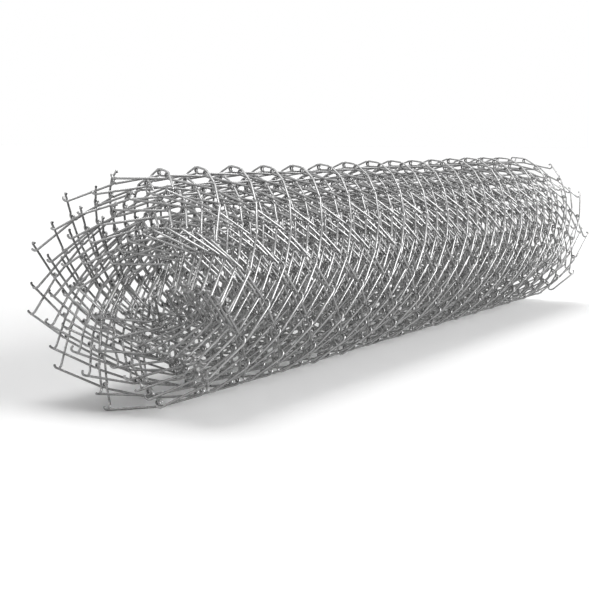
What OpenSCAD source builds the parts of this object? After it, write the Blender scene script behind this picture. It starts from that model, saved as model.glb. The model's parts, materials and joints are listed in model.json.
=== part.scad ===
// Roll of woven diamond-mesh wire fencing, lying on its side.
// X runs along the roll, Z is up, and the origin is at the middle of the roll's underside.
// The mesh folds only along the lines where neighbouring wires hook together, so every turn is a
// chain of flats, and the roll rests on one flat of its outer turn.

/* [Mesh] */
// Side of one diamond opening
mesh_size = 65; // [45:1:80]
// Thickness of the woven mesh, over the wires at a hinge line
mesh_thickness = 13; // [8:0.5:16]
// Length of mesh wound into the roll
sheet_length = 5950; // [3000:50:10000]
// Width of the mesh, which is the length of the roll
roll_length = 1500; // [900:10:2000]

/* [Winding] */
// Diameter of the hollow that the first turn is wound around
bore_d = 56; // [50:1:200]
// Clear space between one turn and the next, at a hinge line
turn_gap = 1; // [1:0.25:6]
// How far in from each end of the roll the spaces between the turns are open
open_depth = 46; // [10:1:120]
// How far round the outer turn the free edge lies from the resting flat, as a share of its flats
edge_share = 0.87; // [0.05:0.01:0.9]

/* [Hidden] */
round_fn = 96;
overcut = 1;

// Width of one flat, which is the spacing of the hinge lines, and the spacing of the turns
flat_w = mesh_size / sqrt(2);
turn_pitch = mesh_thickness + turn_gap;
flats = round(sheet_length / flat_w);

// The middle of the mesh is a spiral. Its first flat touches the hollow at its own middle.
first_r = norm([(bore_d + mesh_thickness) / 2, flat_w / 2]);
function spiral_r(a) = first_r + turn_pitch * a / 360;
function flat_angle(a) = 2 * asin(flat_w / 2 / spiral_r(a));
hinge_a = [for (k = 0, a = 0; k <= flats; a = a + flat_angle(a), k = k + 1) a];

// Place of a hinge line in the section, on the inner face, on the outer face and across the gap
function hinge(k, out) = (spiral_r(hinge_a[k]) + out) * [cos(hinge_a[k]), sin(hinge_a[k])];
function inner(k) = hinge(k, -mesh_thickness / 2);
function outer(k) = hinge(k, mesh_thickness / 2);
function across(k) = hinge(k, mesh_thickness / 2 + turn_gap);

// Last hinge of the first turn, and first hinge of the outer turn
first_turn_end = max([for (k = [0:flats]) if (hinge_a[k] < 360) k]);
outer_turn_start = min([for (k = [0:flats]) if (hinge_a[k] > hinge_a[flats] - 360) k]);
outer_turn = [for (k = [outer_turn_start:flats]) outer(k)];

// Turn of the section that lays the resting flat level, and the outer turn after it
rest_end = flats - max(1, round(edge_share * (flats - outer_turn_start)));
rest_flat = outer(rest_end) - outer(rest_end - 1);
level_a = -atan2(rest_flat.y, rest_flat.x);
level_y = [for (p = outer_turn) p.x * cos(level_a) - p.y * sin(level_a)];
level_z = [for (p = outer_turn) p.x * sin(level_a) + p.y * cos(level_a)];

// Section of the whole roll, with the step at the free edge of the mesh
module roll_outline() {
    polygon(concat(outer_turn, [inner(flats)]));
}

// The spiral space that the mesh leaves: the hollow inside the first turn, out past the inner
// edge of the mesh, and on between the turns to the free edge
module open_space() {
    first_turn = [for (k = [0:first_turn_end]) inner(k)];
    far_side = [for (k = [0:outer_turn_start]) across(k)];
    near_side = [for (k = [outer_turn_start:-1:0]) outer(k)];
    polygon(concat(first_turn, far_side, near_side));
}

// The wound mesh as one solid, with its bore, its free edge, and its turns showing on both ends
module mesh_roll() {
    color([0.62, 0.63, 0.65])
    translate([-roll_length / 2, -(min(level_y) + max(level_y)) / 2, -min(level_z)])
    rotate([90, 0, 90])
    rotate(level_a)
    difference() {
        linear_extrude(roll_length) roll_outline();
        translate([0, 0, -overcut])
            cylinder(d = bore_d, h = roll_length + 2 * overcut, $fn = round_fn);
        for (end = [-overcut, roll_length - open_depth])
            translate([0, 0, end]) linear_extrude(open_depth + overcut) open_space();
    }
}

mesh_roll();
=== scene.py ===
import json
import math

import bpy
import numpy as np
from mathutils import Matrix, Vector


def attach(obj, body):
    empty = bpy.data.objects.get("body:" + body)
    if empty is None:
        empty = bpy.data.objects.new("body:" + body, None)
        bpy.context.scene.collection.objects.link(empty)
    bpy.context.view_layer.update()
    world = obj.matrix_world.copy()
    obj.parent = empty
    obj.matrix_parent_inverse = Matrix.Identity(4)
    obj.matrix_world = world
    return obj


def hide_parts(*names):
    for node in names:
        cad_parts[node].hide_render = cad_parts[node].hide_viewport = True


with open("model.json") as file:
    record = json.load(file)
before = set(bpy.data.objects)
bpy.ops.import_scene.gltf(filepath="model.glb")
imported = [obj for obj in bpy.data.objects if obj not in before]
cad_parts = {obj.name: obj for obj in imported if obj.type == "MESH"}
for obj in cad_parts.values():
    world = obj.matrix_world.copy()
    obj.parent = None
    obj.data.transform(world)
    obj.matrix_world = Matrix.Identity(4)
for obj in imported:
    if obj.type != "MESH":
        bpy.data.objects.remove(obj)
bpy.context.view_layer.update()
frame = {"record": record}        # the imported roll: one body, one solid
bore = next(m for m in frame["record"]["mounts"] if m["name"] == "bore")
rollY, rollZ = bore["pos_m"][1:]
boreRadius = bore["dims"]["r_mm"] / 1000
print("frame loaded, bore axis at", rollY, rollZ)


# Shader helpers

class Sock:
    # one output of a node, so that shader maths reads as plain sums
    def __init__(self, board, socket):
        self.board = board
        self.socket = socket

    def maths(self, operation, other):
        return self.board.add("ShaderNodeMath", {"operation": operation}, {0: self, 1: other})

    def __add__(self, other):
        return self.maths("ADD", other)

    def __mul__(self, other):
        return self.maths("MULTIPLY", other)

    def __or__(self, other):
        return self.maths("MAXIMUM", other)

    # all three give the same from either side
    __radd__, __rmul__, __ror__ = __add__, __mul__, __or__


class NodeBoard:
    # the emptied node tree of a material or world
    def __init__(self, block):
        block.use_nodes = True
        self.tree = block.node_tree
        self.tree.nodes.clear()

    def add(self, kind, settings=None, values=None, out=0):
        node = self.tree.nodes.new(kind)
        for name, value in (settings or {}).items():
            setattr(node, name, value)
        for name, value in (values or {}).items():
            if isinstance(value, Sock):
                self.tree.links.new(value.socket, node.inputs[name])
            else:
                node.inputs[name].default_value = value
        return Sock(self, node.outputs[out]) if len(node.outputs) else None


def grey(level):
    return (level, level, level, 1.0)


def greyBetween(board, share, dark, light):
    # a colour mix has its share at socket 0, its colours at 6 and 7, and its result at output 2
    return board.add("ShaderNodeMix", {"data_type": "RGBA"},
                     {0: share, 6: grey(dark), 7: grey(light)}, out=2)


def mottle(board, place, scale, detail):
    return board.add("ShaderNodeTexNoise", {}, {"Vector": place, "Scale": scale, "Detail": detail})


# Winding of the mesh, worked out as in the part: flats between hinge lines on a spiral

mesh = {
    "diamond": 0.065,       # side of one opening
    "wire": 0.0034,         # wire diameter
    "thickness": 0.013,     # over the wires at a hinge line
    "length": 5.95,         # mesh wound into the roll
    "turnGap": 0.001,       # clear space between turns
    "alongRoll": 16,        # diamonds along the roll
    "flatsPastRest": 19,    # flats from the resting flat to the free edge
    "outOfRound": 0.0025,   # how far the roll bulges
    "bulgeAngle": -23.3,    # where, in degrees from +Y towards +Z, and on the opposite side
    "slip": 2.3,            # how far the turns have slipped round, in degrees
    "calmAngle": 80.0,      # degrees over which the unevenness dies away towards the resting flat
    "calmInside": 0.6,      # how much of that calm is left, from each turn to the next one inside it
    "dent": 0.006,          # depth of the dent low on the far side
    "dentSlip": 2.4,        # how far the mesh has slipped up there, in degrees
    "dentAngle": -44.0,     # its middle, in degrees
    "dentSpread": 20.0,     # its reach to either side, in degrees
}

flatW = mesh["diamond"] / math.sqrt(2)
pitch = 2 * flatW                                    # one diamond along the roll
flatCount = round(mesh["length"] / flatW)
turnPitch = mesh["thickness"] + mesh["turnGap"]
firstR = math.hypot(boreRadius + mesh["thickness"] / 2, flatW / 2)
restEnd = flatCount - mesh["flatsPastRest"]
legOut = (mesh["thickness"] - mesh["wire"]) / 2      # legs lie this far out or in from the middle


def spiralRadius(angle):
    return firstR + turnPitch * angle / math.tau


def windAngles():
    angles = [0.0]
    for _ in range(flatCount):
        angles.append(angles[-1] + 2 * math.asin(flatW / 2 / spiralRadius(angles[-1])))
    return np.array(angles)


def calmHinges(angles):
    # 0 at the resting flat and 1 where the winding is as uneven as it gets
    restFrom, restTo = angles[restEnd - 1:restEnd + 1]
    inward = (restFrom + restTo) / 2 - angles
    turnsIn = np.round(inward / math.tau)
    away = np.abs(inward - turnsIn * math.tau) - (restTo - restFrom) / 2
    fade = np.where(turnsIn < 0, 0.0, mesh["calmInside"] ** np.abs(turnsIn))
    return 1 - fade * (1 - np.clip(away / math.radians(mesh["calmAngle"]), 0, 1))


def windHinges(angles, calm):
    # each hinge line's angle round the roll, and its place across the roll
    rays = np.stack([np.cos(angles), np.sin(angles)], -1)
    outer = (spiralRadius(angles) + mesh["thickness"] / 2)[:, None] * rays
    restFlat = outer[restEnd] - outer[restEnd - 1]
    level = angles - math.atan2(restFlat[1], restFlat[0]) + calm * math.radians(mesh["slip"])
    bulge = np.cos(2 * (level - math.radians(mesh["bulgeAngle"]))) * mesh["outOfRound"] * calm
    fromDent = (np.degrees(level) - mesh["dentAngle"] + 180) % 360 - 180
    dent = np.exp(-(fromDent / mesh["dentSpread"]) ** 2)
    level = level + dent * math.radians(mesh["dentSlip"])
    radius = spiralRadius(angles) + bulge - dent * mesh["dent"]
    middle = radius[:, None] * np.stack([np.cos(level), np.sin(level)], -1)
    return level, middle + [rollY, rollZ]


hingeAngles = windAngles()
calm = calmHinges(hingeAngles)
hingeLevels, hinges = windHinges(hingeAngles, calm)
print("wound", flatCount, "flats in", round(hingeAngles[-1] / math.tau, 2), "turns")


# One wire: a flattened spiral between two hinge lines, hooked into its neighbours

weave = {
    "sides": 8,                           # round a wire
    "cornerPoints": 8,                    # along a bend
    "clear": 0.0001,                      # between two hooked wires
    "mostLap": 0.0034,                    # how far a corner loop may pass the hinge line
    "round": 0.0063,                      # length over which a leg bends round into its corner loop
    "bow": 0.0024,                        # how far the legs are bowed out at least, between two hinge lines
    "endOut": 0.0049,                     # how far the last corner stands out past its even place
    "outerEnd": (0.0030, 0.0050, 80.0),   # outer leg's end: run past the hinge, bend radius, bend in degrees
    "innerEnd": (0.0002, 0.0045, 136.0),  # inner leg's end: the same
    "endSeed": 4,
    "endRun": 0.0012,                     # how much the cut ends differ in their run
    "endBend": 26.0,                      # and in their bend, in degrees
    "mostSpread": 1.8,                    # times that, at the most
}

# The sharper a fold, the further its loops pass the hinge line, to stay clear of each other inside it
folds = np.gradient(hingeAngles)
laps = np.minimum(mesh["wire"] / 2 + weave["clear"] + legOut * np.tan(folds / 2), weave["mostLap"])

# How each wire's two cut ends differ, in run and bend: near end first, then far end
endSpread = np.random.default_rng(weave["endSeed"]).normal(0, 1, (flatCount, 2, 2))
endSpread = np.clip(endSpread, -weave["mostSpread"], weave["mostSpread"])


def cornerLoop(side, along, width, lap):
    # half-round loop from one face of the mesh to the other
    turn = np.linspace(-1.0, 1.0, weave["cornerPoints"])
    bend = turn * math.pi / 2
    across = side * (width / 2 + lap - weave["round"] * (1 - np.cos(bend)))
    return np.stack([across, side * legOut * np.sin(bend), along + (weave["round"] - lap) * turn], -1)


def cutEnd(side, toEnd, along, width, spread):
    # a leg runs a little past the hinge and is bent towards the other face, where it is cut off
    isOuter = side * toEnd < 0
    run, radius, degrees = weave["outerEnd"] if isOuter else weave["innerEnd"]
    if not isOuter:
        spread = np.abs(spread) * [1, -1]      # it hooks round the outer one, so it only opens out
    run += spread[0] * weave["endRun"]
    bend = np.linspace(0, math.radians(degrees + spread[1] * weave["endBend"]), weave["cornerPoints"])
    reach = (run + radius * np.sin(bend)) / math.sqrt(2)
    out = legOut - radius * (1 - np.cos(bend))
    return np.stack([side * (width / 2 + reach), out if isOuter else -out,
                     along + toEnd * (weave["endOut"] + reach)], -1)


def wirePath(index, width):
    # points as (across the flat, out from the middle, along the roll)
    lastCorner = 2 * mesh["alongRoll"]
    runs = []
    for corner in range(lastCorner + 1):
        side = 1 if (index + corner) % 2 else -1
        along = corner * flatW
        if corner == 0:
            runs.append(cutEnd(side, -1, along, width, endSpread[index, 0])[::-1])
        elif corner == lastCorner:
            runs.append(cutEnd(side, 1, along, width, endSpread[index, 1]))
        else:
            runs.append(cornerLoop(side, along, width, laps[index + (side > 0)]))
    return np.concatenate(runs)


# Hand-rolled mesh is not quite even: its turns stray in and out together, and slide along the roll

stray = {
    "seed": 11,
    "inOut": 0.0014,        # in and out, at the outer turn
    "inOutInner": 0.0040,   # the same at the first turn
    "slide": 0.0012,        # along the roll, at the outer turn
    "slideInner": 0.0080,   # the same at the first turn
    "slideReach": 9,        # hinge lines over which a slide evens out
    "waves": 9,
    "wavesRound": 3,        # most waves round the roll
    "fewestAlong": 0.5,     # fewest and most half-waves along the roll
    "mostAlong": 7.0,
}


def strayHinges():
    random = np.random.default_rng(stray["seed"])
    waves, reach = stray["waves"], stray["slideReach"]
    count = flatCount + 1
    size = random.normal(0, 1, waves) / math.sqrt(waves / 2)
    around = random.integers(1, stray["wavesRound"] + 1, waves)
    halfWaves = random.uniform(stray["fewestAlong"], stray["mostAlong"], waves)
    rate = halfWaves * math.pi / (mesh["alongRoll"] * pitch)
    start = random.uniform(0, math.tau, waves)
    drift = random.normal(0, 1, count + reach - 1)
    window = np.hanning(reach)
    slide = np.convolve(drift, window / np.sqrt((window ** 2).sum()), "valid")
    slide *= stray["slide"] + (stray["slideInner"] - stray["slide"]) * np.linspace(1, 0, count) ** 2
    inOut = np.linspace(stray["inOutInner"], stray["inOut"], count) * calm
    return size, around, rate, start, inOut, slide


straySize, strayAround, strayRate, strayStart, strayInOut, straySlide = strayHinges()


def strayAt(line, along):
    wave = np.sin(hingeLevels[line] * strayAround + along[:, None] * strayRate + strayStart)
    return strayInOut[line] * (straySize * wave).sum(1)


def placeWire(index, local):
    # puts a wire's own points into the roll's frame
    start, end = hinges[index], hinges[index + 1]
    width = np.linalg.norm(end - start)
    across = (end - start) / width
    outward = np.array([across[1], -across[0]])
    share = np.clip(local[:, 0] / width + 0.5, 0, 1)
    along = local[:, 2] + (1 - share) * straySlide[index] + share * straySlide[index + 1]
    out = local[:, 1] + (1 - share) * strayAt(index, along) + share * strayAt(index + 1, along)
    bow = max(weave["bow"], width ** 2 / 8 / spiralRadius(hingeAngles[index]))      # or the turn's own arc
    out += bow * min(calm[index], calm[index + 1]) * 4 * share * (1 - share)
    section = (start + end) / 2 + local[:, :1] * across + out[:, None] * outward
    section[:, 1] = np.maximum(section[:, 1], mesh["wire"] / 2)      # nothing sinks into the floor
    return np.column_stack([along - mesh["alongRoll"] * pitch / 2, section])


def tubeMesh(paths):
    # round tubes along many paths, closed at their cut ends
    sides = weave["sides"]
    rim = np.linspace(0, math.tau, sides, endpoint=False)[None, :, None]
    step = np.arange(sides)
    points, walls, cuts = [], [], []
    base = 0
    for path in paths:
        ahead = np.gradient(path, axis=0)
        ahead /= np.linalg.norm(ahead, axis=1)[:, None]
        sideways = np.cross(ahead, [1.0, 0.0, 0.0])
        sideways /= np.linalg.norm(sideways, axis=1)[:, None]
        upward = np.cross(sideways, ahead)
        ring = np.cos(rim) * sideways[:, None] + np.sin(rim) * upward[:, None]
        points.append((path[:, None] + mesh["wire"] / 2 * ring).reshape(-1, 3))
        row = base + np.arange(len(path) - 1)[:, None] * sides
        here, there = row + step, row + (step + 1) % sides
        walls.append(np.stack([here, there, there + sides, here + sides], -1).reshape(-1, 4))
        cuts.append(base + step[::-1])
        base += len(path) * sides
        cuts.append(base - sides + step)
    return np.concatenate(points), np.concatenate(walls), np.array(cuts)


# Finishes

zinc = {
    "dull": 0.12,            # greys of the zinc
    "bright": 0.50,
    "metallic": 0.85,
    "patchScale": 28.0,      # broad patches along the wires
    "patchDetail": 3.0,
    "patchShare": 0.6,       # of the tone, and the spangle has the rest
    "spangleScale": 420.0,   # fine crystals
    "spangleDetail": 2.0,
    "bump": 0.1,
    "bumpDepth": 0.0003,
    "roughLow": 0.20,
    "roughSpan": 0.14,
}


def zincFinish():
    material = bpy.data.materials.new("galvanisedWire")
    board = NodeBoard(material)
    place = board.add("ShaderNodeTexCoord", out="Object")
    patch = mottle(board, place, zinc["patchScale"], zinc["patchDetail"])
    spangle = mottle(board, place, zinc["spangleScale"], zinc["spangleDetail"])
    tone = zinc["patchShare"] * patch + (1 - zinc["patchShare"]) * spangle
    bump = board.add("ShaderNodeBump", {}, {
        "Strength": zinc["bump"], "Distance": zinc["bumpDepth"], "Height": spangle})
    shader = board.add("ShaderNodeBsdfPrincipled", {}, {
        "Base Color": greyBetween(board, tone, zinc["dull"], zinc["bright"]),
        "Metallic": zinc["metallic"],
        "Roughness": zinc["roughLow"] + zinc["roughSpan"] * patch,
        "Normal": bump})
    board.add("ShaderNodeOutputMaterial", {}, {"Surface": shader})
    return material


cutSteel = {
    "dark": 0.03,
    "light": 0.09,
    "metallic": 0.6,
    "grainScale": 900.0,
    "grainDetail": 2.0,
    "roughLow": 0.5,
    "roughSpan": 0.25,
}


def cutFinish():
    material = bpy.data.materials.new("cutWireEnd")
    board = NodeBoard(material)
    place = board.add("ShaderNodeTexCoord", out="Object")
    grain = mottle(board, place, cutSteel["grainScale"], cutSteel["grainDetail"])
    shader = board.add("ShaderNodeBsdfPrincipled", {}, {
        "Base Color": greyBetween(board, grain, cutSteel["dark"], cutSteel["light"]),
        "Metallic": cutSteel["metallic"],
        "Roughness": cutSteel["roughLow"] + cutSteel["roughSpan"] * grain})
    board.add("ShaderNodeOutputMaterial", {}, {"Surface": shader})
    return material


# The roll, one joined mesh for each turn, counted inwards from the free edge

def makeTurns():
    finishes = zincFinish(), cutFinish()
    back = hingeAngles[-1] - hingeAngles[:-1]
    turnOf = ((back - 1e-6) / math.tau).astype(int)      # a whole turn back still counts as the turn before
    for turn in range(turnOf.max() + 1):
        paths = []
        for index in np.flatnonzero(turnOf == turn):
            width = np.linalg.norm(hinges[index + 1] - hinges[index])
            paths.append(placeWire(index, wirePath(index, width)))
        points, walls, cuts = tubeMesh(paths)
        data = bpy.data.meshes.new(f"meshTurn{turn + 1}")
        data.from_pydata(points.tolist(), [], walls.tolist() + cuts.tolist())
        for finish in finishes:
            data.materials.append(finish)
        isCut = np.arange(len(data.polygons)) >= len(walls)
        data.polygons.foreach_set("material_index", isCut.astype(np.int32))
        data.polygons.foreach_set("use_smooth", ~isCut)
        data.update()
        piece = bpy.data.objects.new(data.name, data)
        bpy.context.scene.collection.objects.link(piece)
        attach(piece, "root")
        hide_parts("mesh_roll")
        triangles = 2 * len(walls) + (weave["sides"] - 2) * len(cuts)
        print(data.name, len(paths), "wires", triangles, "triangles")


makeTurns()


# Studio

studio = {
    "focal": 1300.0,                     # in pixels of a frame 589 wide
    "frameWidth": 589.0,
    "sensor": 36.0,
    "eye": (-2.1257, -1.0673, 0.3710),
    "yaw": 30.105,                       # in degrees, as is the tilt
    "tilt": -6.866,
    "floorReach": 40.0,
    "floorGrey": 0.88,                   # of the floor as it is seen
    "floorBounce": 0.30,                 # and for the light that it sends up to the roll
    "floorLift": 0.03,                   # keeps the shadow from going too dark
    "skyLight": 0.12,
    "suns": (                            # name, where the light comes from, strength, softness in degrees
        ("backSun", (0.42, 0.42, 0.80), 0.75, 44.0),
        ("topSun", (0.15, 0.15, 0.98), 1.45, 30.0),
        ("frontSun", (0.33, -0.89, 0.30), 4.6, 44.0),
    ),
}


def makeCamera():
    data = bpy.data.cameras.new("camera")
    data.sensor_width = studio["sensor"]
    data.lens = data.sensor_width * studio["focal"] / studio["frameWidth"]
    camera = bpy.data.objects.new("camera", data)
    yaw, tilt = math.radians(studio["yaw"]), math.radians(studio["tilt"])
    look = Vector((math.cos(tilt) * math.cos(yaw), math.cos(tilt) * math.sin(yaw), math.sin(tilt)))
    camera.location = studio["eye"]
    camera.rotation_euler = look.to_track_quat("-Z", "Y").to_euler()
    bpy.context.scene.collection.objects.link(camera)
    bpy.context.scene.camera = camera


def seenDirectly(board):
    # 1 for the rays that show a surface, straight or mirrored, and 0 for the rays that light one
    rays = [board.add("ShaderNodeLightPath", out=name)
            for name in ("Is Camera Ray", "Is Glossy Ray", "Is Transmission Ray")]
    return rays[0] | rays[1] | rays[2]


def makeFloor():
    reach = studio["floorReach"]
    data = bpy.data.meshes.new("floor")
    data.from_pydata([(x * reach, y * reach, 0.0) for x, y in ((-1, -1), (1, -1), (1, 1), (-1, 1))],
                     [], [(0, 1, 2, 3)])
    material = bpy.data.materials.new("paleFloor")
    board = NodeBoard(material)
    seen = seenDirectly(board)
    shown = board.add("ShaderNodeBsdfDiffuse", {}, {"Color": grey(studio["floorGrey"])})
    bounce = board.add("ShaderNodeBsdfDiffuse", {}, {"Color": grey(studio["floorBounce"])})
    matt = board.add("ShaderNodeMixShader", {}, {0: seen, 1: bounce, 2: shown})
    lift = board.add("ShaderNodeEmission", {}, {"Strength": studio["floorLift"] * seen})
    both = board.add("ShaderNodeAddShader", {}, {0: matt, 1: lift})
    board.add("ShaderNodeOutputMaterial", {}, {"Surface": both})
    data.materials.append(material)
    floor = bpy.data.objects.new("floor", data)
    bpy.context.scene.collection.objects.link(floor)


def makeSky():
    world = bpy.data.worlds.new("studioSky")
    bpy.context.scene.world = world
    board = NodeBoard(world)
    strength = studio["skyLight"] + (1 - studio["skyLight"]) * seenDirectly(board)
    light = board.add("ShaderNodeBackground", {}, {"Color": grey(1.0), "Strength": strength})
    board.add("ShaderNodeOutputWorld", {}, {"Surface": light})


def makeSun(name, source, strength, softness):
    data = bpy.data.lights.new(name, "SUN")
    data.energy = strength
    data.angle = math.radians(softness)
    sun = bpy.data.objects.new(name, data)
    sun.rotation_euler = (-Vector(source)).to_track_quat("-Z", "Y").to_euler()
    bpy.context.scene.collection.objects.link(sun)


makeCamera()
makeFloor()
makeSky()
for sun in studio["suns"]:
    makeSun(*sun)
bpy.context.scene.view_settings.view_transform = "Standard"
print("studio ready")
